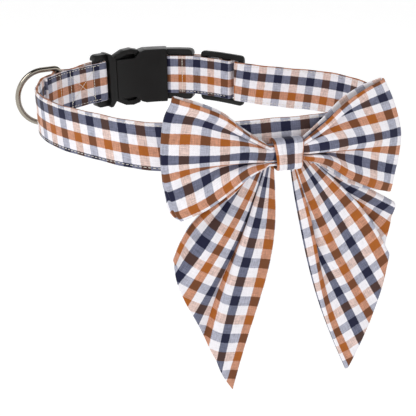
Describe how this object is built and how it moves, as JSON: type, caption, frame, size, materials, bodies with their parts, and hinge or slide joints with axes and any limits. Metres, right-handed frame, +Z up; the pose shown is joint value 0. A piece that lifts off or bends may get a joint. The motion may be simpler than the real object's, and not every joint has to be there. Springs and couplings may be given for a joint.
{
  "type": "pet bow tie collar",
  "caption": "Adjustable check cotton pet collar with a side-release buckle, a slider, a leash ring and a gathered bow with two pleated pointed tails.",
  "frame": {"origin": "middle of the neck opening, at half the strap's width", "axes": "+Z up along the wearer's neck, -Y to the bow's side at the front, +Y to the buckle's side at the back, +X to the right as seen from the front"},
  "size_m": [0.2163, 0.1705, 0.164],
  "materials": {
    "check_cotton": "woven cotton check, matt",
    "black_plastic": "moulded, satin",
    "nickel_wire": "nickel plate"
  },
  "bodies": {
    "collar": {"strap": "check_cotton", "buckle_male": "black_plastic", "buckle_female": "black_plastic", "slider": "black_plastic", "bow_wing_left": "check_cotton", "bow_wing_right": "check_cotton", "bow_tail_left": "check_cotton", "bow_tail_right": "check_cotton", "knot_band": "check_cotton"},
    "d_ring": {"d_ring": "nickel_wire"}
  },
  "joints": [
    {"name": "d_ring_swing", "type": "hinge", "parent": "collar", "child": "d_ring", "pos_m": [-0.0836, 0.03714, -0.002], "axis": [0, 0, 1], "range_deg": [-110, 5]}
  ]
}
